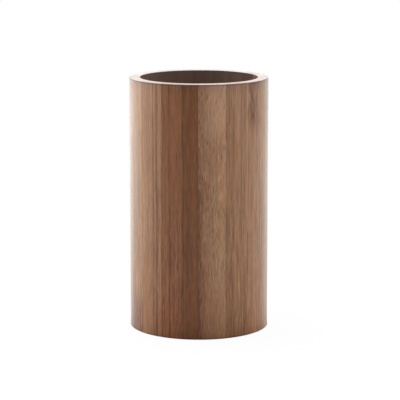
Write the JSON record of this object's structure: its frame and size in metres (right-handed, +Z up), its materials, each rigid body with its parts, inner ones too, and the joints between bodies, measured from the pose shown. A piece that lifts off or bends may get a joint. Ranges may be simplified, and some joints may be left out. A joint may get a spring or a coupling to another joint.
{
  "type": "toothbrush holder",
  "caption": "Straight round toothbrush tumbler, open at the top, made of glued bamboo staves round a glued slat base.",
  "frame": {"origin": "on the cup's axis, in the plane that its foot stands on", "axes": "+Z up along the cup's axis, towards the open rim; -Y is the pictured front and +X its right"},
  "size_m": [0.065, 0.065, 0.118],
  "materials": {
    "bamboo_sand": "steamed bamboo, palest strips, clear satin lacquer",
    "bamboo_fawn": "steamed bamboo, clear satin lacquer",
    "bamboo_umber": "steamed bamboo, middle brown strips, clear satin lacquer",
    "bamboo_walnut": "steamed bamboo, dark strips, clear satin lacquer",
    "bamboo_cocoa": "steamed bamboo, darkest strips, clear satin lacquer"
  },
  "bodies": {
    "root": {"stave_01": "bamboo_sand", "stave_02": "bamboo_fawn", "stave_03": "bamboo_sand", "stave_04": "bamboo_fawn", "stave_05": "bamboo_umber", "stave_06": "bamboo_fawn", "stave_07": "bamboo_walnut", "stave_08": "bamboo_sand", "stave_09": "bamboo_umber", "stave_10": "bamboo_fawn", "stave_11": "bamboo_umber", "stave_12": "bamboo_walnut", "stave_13": "bamboo_fawn", "stave_14": "bamboo_sand", "stave_15": "bamboo_umber", "stave_16": "bamboo_fawn", "stave_17": "bamboo_sand", "stave_18": "bamboo_umber", "stave_19": "bamboo_walnut", "stave_20": "bamboo_cocoa", "base_slat_1": "bamboo_fawn", "base_slat_2": "bamboo_umber", "base_slat_3": "bamboo_sand", "base_slat_4": "bamboo_fawn", "base_slat_5": "bamboo_umber"}
  },
  "joints": []
}
